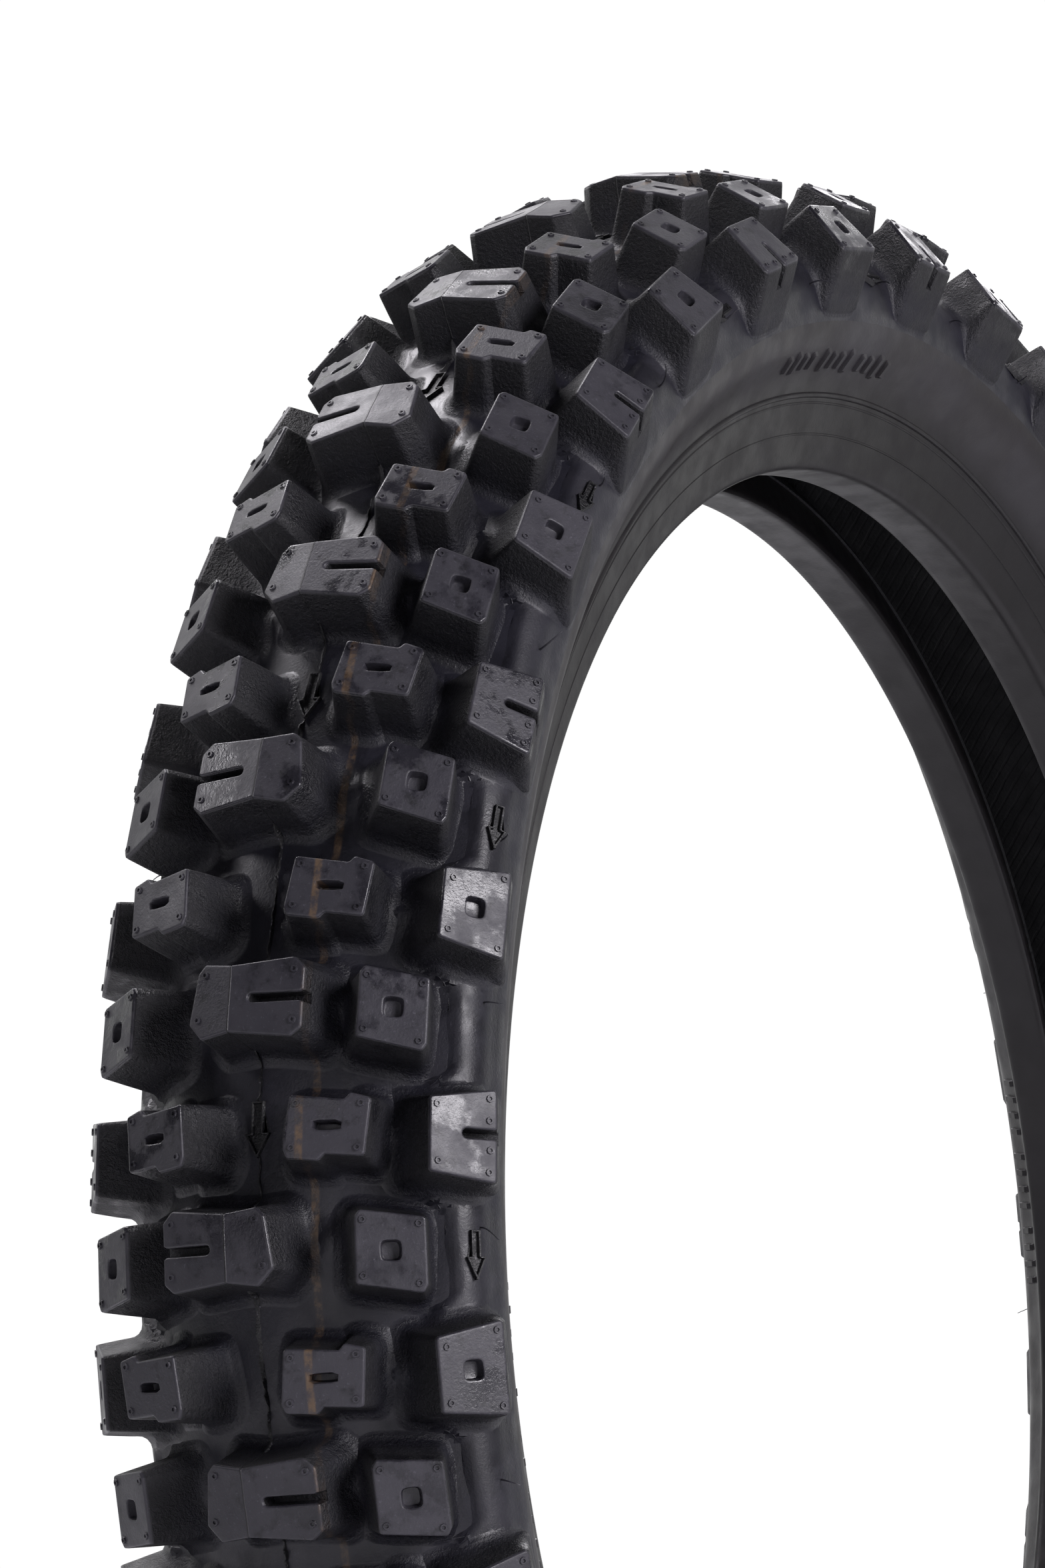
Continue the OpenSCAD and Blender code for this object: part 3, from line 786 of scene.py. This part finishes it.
def build_rows(kind, node, first, k_step, offset, sizes, stepped=False):
    """One piece for each side of a row of blocks: every k_step pitches from the side's first one."""
    for name, side in sides():
        k = np.arange(first(side), PITCHES, k_step, dtype=float)
        step = np.where(k % 2 == 0, side, -side) * SIDE_STEP if stepped else np.zeros(len(k))
        block_piece(f"{node}_{name}_moulded", kind, k + offset, side, step, sizes, material(tread_rubber),
                    [f"{node}_{name}"])


class TIRE_OT_middle_blocks(bpy.types.Operator):
    """Builds the ridged middle blocks, whose long half takes turns from side to side"""
    bl_idname = "tire.middle_blocks"
    bl_label = "Middle blocks"

    def execute(self, context):
        build_rows("middle", "middle_knobs", lambda side: 0 if side > 0 else 1, 2, 0.0,
                   context.scene.tire_sizes)
        return {"FINISHED"}


class TIRE_OT_inner_blocks(bpy.types.Operator):
    """Builds the stepped inner side blocks with their closed slots"""
    bl_idname = "tire.inner_blocks"
    bl_label = "Inner blocks"

    def execute(self, context):
        build_rows("inner", "inner_knobs", lambda side: 0, 1, 0.5, context.scene.tire_sizes, stepped=True)
        return {"FINISHED"}


class TIRE_OT_outer_blocks(bpy.types.Operator):
    """Builds the outer side blocks with their square dimples"""
    bl_idname = "tire.outer_blocks"
    bl_label = "Outer blocks"

    def execute(self, context):
        build_rows("outer", "outer_knobs", lambda side: 0, 1, 0.0, context.scene.tire_sizes)
        return {"FINISHED"}


class TIRE_OT_shoulder_blocks(bpy.types.Operator):
    """Builds the shoulder blocks, slotted and dimpled in turn"""
    bl_idname = "tire.shoulder_blocks"
    bl_label = "Shoulder blocks"

    def execute(self, context):
        sizes = context.scene.tire_sizes
        build_rows("slotted", "shoulder_knobs_slotted", lambda side: 0, 2, 0.5, sizes)
        build_rows("dimpled", "shoulder_knobs_dimpled", lambda side: 1, 2, 0.5, sizes)
        return {"FINISHED"}


FLOOR_COLUMNS = PITCHES * 36
WALL_COLUMNS = PITCHES * 24
TREAD_T = 4.0
SIDE_T = 2.4


def skin_t(heading):
    """Thickness of the rubber over the plies: the tread's on the crown, easing to the sidewall's."""
    return TREAD_T + (SIDE_T - TREAD_T) * ease(heading, radians(40), radians(95))


def relief_strip(name, runs, side, columns, ribs, material_made, slot, nodes, sizes):
    """A strip of casing skin with its moulded relief, closed by an inner face at the skin's depth.

    The outer rows lie on the casing lifted by the relief and by ribs round the tire, and the inner
    rows lie below it in reverse order, so rows close into a tube and columns close round the axle.
    """
    k = np.arange(columns) / columns * PITCHES
    inner = np.linspace(runs[-1], runs[0], 6)
    lift = relief(k[None, :], runs[:, None] * side, sizes) + ribs(runs)[:, None]
    outer = on_casing(k[None, :], runs[:, None] * side, lift)
    if side < 0:
        outer[..., 1] = np.where(runs[:, None] == 0, 0, outer[..., 1])
    depth = -skin_t(casing(inner)[2])
    under = on_casing(k[None, :], inner[:, None] * side, depth[:, None] + 0 * k[None, :])
    points = np.concatenate([outer, under])
    low = np.concatenate([np.ones_like(lift), np.ones((len(inner), columns))])
    faces = grid_faces(len(points), columns, close_rows=True, flip=side > 0)
    # The painted void shade is up to about a third weaker on the raised decks and saddles.
    low = low * (1 - 0.35 * ease(np.concatenate([lift, np.zeros((len(inner), columns))]), 1.0, 3.5))
    return put_mesh(name, points.reshape(-1, 3), [faces], material_made, slot, nodes, 50,
                    low=low, wall=np.zeros_like(low))


def rib(run, at, wide, high):
    """A half round rib: the circle's height over the casing where the run passes it."""
    return high * np.sqrt(np.clip(1 - ((run - at) / wide) ** 2, 0, 1))


FINE_RIBS = (RIM_LINE + 2.4,)


def wall_ribs(run):
    """The rim line and the fine rib below it."""
    height = rib(run, RIM_LINE, 0.8, 0.8)
    return height + sum(rib(run, at, 0.35, 0.3) for at in FINE_RIBS)


class TIRE_OT_tread_floor(bpy.types.Operator):
    """Builds the tread floor with its shoulder decks and saddles, in a right and a left half"""
    bl_idname = "tire.tread_floor"
    bl_label = "Tread floor"

    def execute(self, context):
        runs = np.linspace(0, FLOOR_EDGE, 38)
        for name, side in sides():
            relief_strip(f"tread_floor_{name}", np.maximum(runs, 1e-6), side, FLOOR_COLUMNS, np.zeros_like,
                         material(tread_rubber), "tread", ["tread_floor"], context.scene.tire_sizes)
        return {"FINISHED"}


class TIRE_OT_sidewalls(bpy.types.Operator):
    """Builds the sidewalls with the rim line and fine ribs"""
    bl_idname = "tire.sidewalls"
    bl_label = "Sidewalls"

    def execute(self, context):
        plain = np.linspace(FLOOR_EDGE, CHAFER_TOP, 26)
        near = np.linspace(-1, 1, 9)
        runs = np.unique(np.concatenate([plain, RIM_LINE + near * 0.9]
                                        + [at + near[::2] * 0.36 for at in FINE_RIBS]))
        for name, side in sides():
            relief_strip(f"sidewall_{name}_moulded", runs, side, WALL_COLUMNS, wall_ribs,
                         material(side_rubber), "sidewall", [f"sidewall_{name}"], context.scene.tire_sizes)
        return {"FINISHED"}


BUNDLE_R, BUNDLE_Y = 248.9, 21.2
WRAP_R = 5.6
BEAD_RIBS = (CHAFER_TOP + 1.6,)


class TIRE_OT_chafers(bpy.types.Operator):
    """Builds the chafers: bead face with fine ribs, heel, seat, toe and inner face"""
    bl_idname = "tire.chafers"
    bl_label = "Chafers"

    def execute(self, context):
        runs = np.unique(np.concatenate([np.linspace(CHAFER_TOP, LEG_ENDS[-1], 40)]
                                        + [at + np.linspace(-0.36, 0.36, 5) for at in BEAD_RIBS]))
        r, y, heading = casing(runs)
        lift = sum(rib(runs, at, 0.35, 0.25) for at in BEAD_RIBS)
        outer = np.stack([r + lift * np.cos(heading), y + lift * np.sin(heading)], -1)
        swing = BEAD_SLOPE + pi - np.linspace(0, pi, 11)
        wrap = np.stack([BUNDLE_R + WRAP_R * np.cos(swing), BUNDLE_Y + WRAP_R * np.sin(swing)], -1)
        top = np.array([[r[0] - 3.15 * cos(BEAD_SLOPE), y[0] - 3.15 * sin(BEAD_SLOPE)]])
        profile = np.concatenate([outer, wrap, top])
        for name, side in sides():
            ring_piece(f"chafer_{name}_moulded", profile, 300, material(side_rubber), "bead_rubber",
                       [f"chafer_{name}"], side)
        return {"FINISHED"}


def ply_depth(run):
    """Depth of the plies' middle below the casing's outside: deep under the tread, near the surface
    in the sidewall and deep again beside the bead bundle."""
    r, _, heading = casing(run)
    wall = SIDE_T + 1
    at_bead = np.where(heading < pi / 2, 0, 1 - ease(r, 250.9, 271.5))
    return 6 + (wall - 6) * ease(heading, radians(40), radians(95)) + (13.35 - wall) * at_bead


class TIRE_OT_inner_liner(bpy.types.Operator):
    """Builds the smooth airtight lining inside the casing, from bead to bead"""
    bl_idname = "tire.inner_liner"
    bl_label = "Inner liner"

    def execute(self, context):
        end = np.interp(-251.2, -casing(np.linspace(RIM_LINE, CHAFER_TOP + 4, 200))[0],
                        np.linspace(RIM_LINE, CHAFER_TOP + 4, 200))
        run = np.linspace(-end, end, 50)
        r, y, heading = casing(run)
        across = np.sign(run) * y
        lean = np.sign(run) * heading
        layers = []
        for under in (1.0, 2.0):
            depth = ply_depth(np.abs(run)) + under
            layers.append(np.stack([r - depth * np.cos(lean), across - depth * np.sin(lean)], -1))
        profile = np.concatenate([layers[0], layers[1][::-1]])
        ring_piece("inner_liner_moulded", profile, 300, material(liner_rubber), "liner", ["inner_liner"])
        return {"FINISHED"}


class TIRE_OT_mould_seam(bpy.types.Operator):
    """Builds the thin ragged fin left by the mould's parting line between the middle blocks"""
    bl_idname = "tire.mould_seam"
    bl_label = "Mould seam"

    def execute(self, context):
        sizes = context.scene.tire_sizes
        columns = PITCHES * 60
        k = np.arange(columns) / columns * PITCHES
        dice = np.random.default_rng(7)
        rough = soften(dice.standard_normal((columns, 2)), 0.8) * 1.6
        slow = soften(dice.standard_normal((columns, 2)), 9) * 5
        from_arrow = np.abs((k - 0.5 + 1) % 2 - 1) * PITCH_RUN
        height = sizes.seam_height / MM * np.clip(0.8 + 0.45 * rough[:, 0] + 0.2 * slow[:, 0], 0.4, 1.5)
        height = height * ease(from_arrow, 7.2, 7.9) + 0.02
        foot = sizes.foot_radius / MM
        from_block = np.abs((k + 0.5) % 1 - 0.5) * PITCH * FLOOR_R
        into = np.clip(10.6 + foot - from_block, 0, foot)
        climb = foot - np.sqrt(foot ** 2 - into ** 2)
        sway = 0.25 * rough[:, 1] + 0.5 * slow[:, 1]
        section = np.array([(-0.45, 0.0), (-0.18, 1.0), (0.18, 1.0), (0.45, 0.0)])
        across = section[:, 0][:, None] + sway[None, :] * (0.3 + 0.7 * section[:, 1][:, None])
        lift = np.where(section[:, 1][:, None] > 0, height[None, :], -0.6) + climb[None, :]
        r, _, _ = casing(np.zeros(1))
        points = turn(k[None, :], r + lift, across)
        put_mesh("mould_seam", points.reshape(-1, 3), [grid_faces(4, columns, True, True)],
                 material(fin_rubber), "tread", (), 60, low=np.ones(4 * columns), wall=np.zeros(4 * columns))
        return {"FINISHED"}


def arrows(name, ks, centre, shaft, wing, top, neck, tip, lift, sizes, side=1):
    """Raised outline arrows that point down at the front of the tire.

    The arrow's outline is the path, and the profile carried along it is a low wall: up its outside,
    across its top and down its inside to a closed panel.
    """
    corners = [(-shaft, top), (shaft, top), (shaft, neck), (wing, neck), (0, tip), (-wing, neck),
               (-shaft, neck)]
    line, out = round_outline(corners, 0.12, 3, 3)
    high = sizes.mark_height / MM
    rows = [(-0.62, 0.12), (-0.5, high * 0.9), (-0.42, high), (-0.1, high), (-0.02, high * 0.9), (0.12, -0.5)]
    xy = np.stack([line + grow * out for grow, _ in rows])
    height = np.array([h for _, h in rows])[:, None] + lift
    k = ks[:, None, None] - xy[None, ..., 1] / PITCH_RUN
    points = on_casing(k, (centre + xy[None, ..., 0]) * side, height[None] + 0 * k)
    if centre == 0:
        r, y, heading = casing(np.abs(xy[..., 0]))
        across = np.sign(xy[..., 0]) * (y + height * np.sin(heading))
        points = turn(k, (r + height * np.cos(heading))[None], across[None])
    count = len(line)
    single = [grid_faces(len(rows), count), np.arange(count)[::-1][None],
              (np.arange(count) + (len(rows) - 1) * count)[None]]
    faces = [many(f[:, ::-1] if side < 0 else f, len(ks), len(rows) * count) for f in single]
    return put_mesh(name, points.reshape(-1, 3), faces, material(fin_rubber), "tread", (), 40)


class TIRE_OT_arrows(bpy.types.Operator):
    """Builds the raised rolling direction arrows on the tread's middle and on the shoulder decks"""
    bl_idname = "tire.arrows"
    bl_label = "Direction arrows"

    def execute(self, context):
        sizes = context.scene.tire_sizes
        arrows("centre_arrows", np.arange(0.5, PITCHES, 2), 0, 1.7, 3.5, 7.8, -0.6, -7.1, 0.0, sizes)
        for name, side in sides():
            arrows(f"shoulder_arrows_{name}", np.arange(1.0, PITCHES, 2), 53.4, 1.05, 2.3, 3.1, -4.2, -10.8,
                   sizes.deck_height / MM, sizes, side)
        return {"FINISHED"}


class TIRE_OT_sidewall_bars(bpy.types.Operator):
    """Builds plain raised bars in four groups round each sidewall"""
    bl_idname = "tire.sidewall_bars"
    bl_label = "Sidewall bars"

    def execute(self, context):
        sizes = context.scene.tire_sizes
        group = np.arange(12)
        starts = np.arange(4) * PITCHES / 4 + 1.2
        ks = (starts[:, None] + group * 0.115 + (group // 4) * 0.06).ravel()
        ratio = np.linspace(-1, 1, 7)
        u, w = np.meshgrid(ratio, ratio, indexing="ij")
        dome = (1 - np.abs(u) ** 8) * (1 - np.abs(w) ** 8)
        long = 3.6 + 1.2 * ((np.tile(group, 4) % 3) == 1)
        edge = np.clip(dome * 3, 0, 1)
        for name, side in sides():
            k = ks[:, None, None] + u[None] * 1.7 / PITCH_RUN
            run = LEG_ENDS[2] + 3.0 + w[None] * long[:, None, None]
            lift = -0.4 + edge[None] * (0.4 + sizes.mark_height / MM) + relief(k, run * side, sizes)
            top = on_casing(k, run * side, lift)
            under = on_casing(k, run * side, -0.6 + 0 * lift)
            bars, n = len(ks), len(ratio)
            points = np.concatenate([top.reshape(bars, -1, 3), under.reshape(bars, -1, 3)], 1)
            i, j = np.meshgrid(np.arange(n - 1), np.arange(n - 1), indexing="ij")
            q = np.stack([i * n + j, i * n + j + 1, (i + 1) * n + j + 1, (i + 1) * n + j], -1).reshape(-1, 4)
            rim = np.concatenate([np.arange(n), np.arange(1, n) * n + n - 1, (n * n - 2 - np.arange(n - 1)),
                                  (np.arange(n - 2, 0, -1)) * n])
            after = np.roll(rim, -1)
            skirt = np.stack([after, rim, rim + n * n, after + n * n], -1)
            single = np.concatenate([q, q[:, ::-1] + n * n, skirt])
            if side > 0:
                single = single[:, ::-1]
            put_mesh(f"sidewall_bars_{name}", points.reshape(-1, 3), [many(single, bars, 2 * n * n)],
                     material(side_rubber), "sidewall", (), 30)
        return {"FINISHED"}


HAIR_RUN = 55.5


class TIRE_OT_vent_hairs(bpy.types.Operator):
    """Builds a few thin moulding hairs on the shoulder decks"""
    bl_idname = "tire.vent_hairs"
    bl_label = "Vent hairs"

    def execute(self, context):
        dice = np.random.default_rng(3)
        for name, side in sides():
            k = np.arange(0.0, PITCHES, 1) + dice.uniform(-0.12, 0.12, PITCHES)
            long = dice.uniform(3.0, 7.5, PITCHES)
            lean = dice.uniform(-0.7, 0.7, (PITCHES, 2))
            t = np.linspace(0, 1, 6)
            a = -np.arange(5) / 5 * 2 * pi
            thin = 0.28 * (1 - 0.55 * t)
            sag = (lean[:, 0, None] * long[:, None] * t ** 2)[..., None]
            run = HAIR_RUN + sag + thin[None, :, None] * np.cos(a)
            turn_k = (k[:, None] + lean[:, 1, None] * long[:, None] * t ** 2 / PITCH_RUN)[..., None] \
                + thin[None, :, None] * np.sin(a) / PITCH_RUN
            lift = (long[:, None] * t)[..., None] + 2.0 + 0 * run
            points = on_casing(turn_k, run * side, lift)
            single = [grid_faces(6, 5), np.arange(5)[::-1][None], (np.arange(5) + 25)[None]]
            faces = [many(f if side < 0 else f[:, ::-1], PITCHES, 30) for f in single]
            # low at one half gives the hairs half of the painted void shade.
            put_mesh(f"vent_hairs_{name}", points.reshape(-1, 3), faces, material(tread_rubber), "tread", (),
                     60, low=np.full(points[..., 0].size, 0.5), wall=np.zeros(points[..., 0].size))
        return {"FINISHED"}


class TIRE_OT_carcass(bpy.types.Operator):
    """Gives the plies, breaker, bead wires and bead fillers their materials"""
    bl_idname = "tire.carcass"
    bl_label = "Carcass materials"

    def execute(self, context):
        kinds = {"body_ply_inner": cord_ply, "body_ply_outer": cord_ply, "breaker_ply": cord_ply}
        for name, _ in sides():
            kinds[f"bead_wire_{name}"] = bead_wire
            kinds[f"bead_filler_{name}"] = liner_rubber
        for node, maker in kinds.items():
            held = bpy.data.objects.get(node)
            if held is None:
                raise RuntimeError(f"the frame has no node {node}")
            held.data.materials.clear()
            held.data.materials.append(material(maker))
        return {"FINISHED"}


FLOOR_HALF = 6.0
# Each soft light: where it stands, its width in metres and its power in watts.
LIGHTS = (("right", (0.75, 2.0, 0.55), 1.0, 64.0), ("top", (0.05, -1.1, 2.2), 1.1, 52.0),
          ("left", (1.1, -2.2, 1.5), 0.7, 18.0), ("back", (-2.2, -0.8, 1.6), 1.4, 22.0),
          ("front", (2.4, 0.3, 0.15), 1.2, 5.0))
LIGHT_TINT = (0.98, 0.95, 1.0)
BACKDROP = (-0.856, -0.466, 0.225)
DIM_SIDE = 0.02


def studio_world():
    """A white backdrop whose light fades to a dim room on the far side, by the cosine to its
    direction, and that looks white from anywhere."""
    world = bpy.data.worlds.new("studio")
    world.use_nodes = True
    tree = world.node_tree
    toward = tree.nodes.new("ShaderNodeVectorMath")
    toward.operation = "DOT_PRODUCT"
    toward.inputs[1].default_value = BACKDROP
    tree.links.new(tree.nodes.new("ShaderNodeTexCoord").outputs["Generated"], toward.inputs[0])
    fade = tree.nodes.new("ShaderNodeMapRange")
    fade.interpolation_type = "SMOOTHSTEP"
    for socket, value in zip(fade.inputs[1:5], (0.1, 0.9, DIM_SIDE, 1.02)):
        socket.default_value = value
    tree.links.new(toward.outputs["Value"], fade.inputs[0])
    seen = tree.nodes.new("ShaderNodeMath")
    seen.operation = "MAXIMUM"
    tree.links.new(tree.nodes.new("ShaderNodeLightPath").outputs["Is Camera Ray"], seen.inputs[0])
    tree.links.new(fade.outputs[0], seen.inputs[1])
    tree.links.new(seen.outputs[0], tree.nodes["Background"].inputs[1])
    tree.nodes["Background"].inputs[0].default_value = (1.0, 1.0, 1.0, 1.0)
    return world


# The camera: where it stands in metres, its right, up and back directions, and its lens in mm.
CAMERA_SPOT = (1.38625, 0.65520, -0.20050)
CAMERA_AXES = ((-0.47691, 0.87893, 0.00611), (0.20037, 0.10195, 0.97440), (0.85581, 0.46593, -0.22473))
CAMERA_LENS = 117.96


class TIRE_OT_stage(bpy.types.Operator):
    """Builds the pale floor, the soft studio lights and the camera"""
    bl_idname = "tire.stage"
    bl_label = "Studio"

    def execute(self, context):
        scene = context.scene
        level = -TOP_R * MM
        mesh = bpy.data.meshes.new("studio_floor")
        mesh.from_pydata([(-FLOOR_HALF, -FLOOR_HALF, level), (FLOOR_HALF, -FLOOR_HALF, level),
                          (FLOOR_HALF, FLOOR_HALF, level), (-FLOOR_HALF, FLOOR_HALF, level)],
                         [], [(0, 1, 2, 3)])
        mesh.materials.append(material(studio_floor))
        ground = bpy.data.objects.new("studio_floor", mesh)
        scene.collection.objects.link(ground)
        ground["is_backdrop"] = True

        scene.view_settings.view_transform = "Standard"
        scene.world = studio_world()

        for name, spot, width, power in LIGHTS:
            data = bpy.data.lights.new(name, "AREA")
            data.shape, data.size, data.energy = "DISK", width, power
            data.color = LIGHT_TINT
            lamp = bpy.data.objects.new(name, data)
            lamp.location = spot
            lamp.rotation_mode = "QUATERNION"
            lamp.rotation_quaternion = (-lamp.location).to_track_quat("-Z", "Y")
            scene.collection.objects.link(lamp)

        data = bpy.data.cameras.new("camera")
        data.sensor_width, data.lens, data.sensor_fit = 36.0, CAMERA_LENS, "AUTO"
        data.clip_start, data.clip_end = 0.05, 60.0
        camera = bpy.data.objects.new("camera", data)
        camera.matrix_world = Matrix.Translation(CAMERA_SPOT) @ Matrix(CAMERA_AXES).transposed().to_4x4()
        scene.collection.objects.link(camera)
        scene.camera = camera
        return {"FINISHED"}


class TIRE_PT_panel(bpy.types.Panel):
    """Lists the tire's sizes, colours and pieces"""
    bl_idname = "TIRE_PT_panel"
    bl_label = "Tire"
    bl_space_type = "VIEW_3D"
    bl_region_type = "UI"
    bl_category = "Tire"

    def draw(self, context):
        layout = self.layout
        for group in (context.scene.tire_sizes, context.scene.tire_colours):
            box = layout.box()
            for name in group.__annotations__:
                box.prop(group, name)
        for operator in OPERATORS:
            layout.operator(operator.bl_idname)


OPERATORS = (TIRE_OT_middle_blocks, TIRE_OT_inner_blocks, TIRE_OT_outer_blocks, TIRE_OT_shoulder_blocks,
             TIRE_OT_tread_floor, TIRE_OT_sidewalls, TIRE_OT_chafers, TIRE_OT_inner_liner, TIRE_OT_mould_seam,
             TIRE_OT_arrows, TIRE_OT_sidewall_bars, TIRE_OT_vent_hairs, TIRE_OT_carcass, TIRE_OT_stage)
CLASSES = (TireSizes, TireColours) + OPERATORS + (TIRE_PT_panel,)


def register():
    for made in CLASSES:
        bpy.utils.register_class(made)
    bpy.types.Scene.tire_sizes = PointerProperty(type=TireSizes)
    bpy.types.Scene.tire_colours = PointerProperty(type=TireColours)


def unregister():
    del bpy.types.Scene.tire_sizes
    del bpy.types.Scene.tire_colours
    for made in reversed(CLASSES):
        bpy.utils.unregister_class(made)


def corners(box):
    return [[float(x) for x in corner] for corner in box]


def main():
    cad_box = corners(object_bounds())
    register()
    for operator in OPERATORS:
        group, name = operator.bl_idname.split(".")
        getattr(getattr(bpy.ops, group), name)()
    {"cad": cad_box, "visual": corners(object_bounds())}


if __name__ == "__main__":
    main()
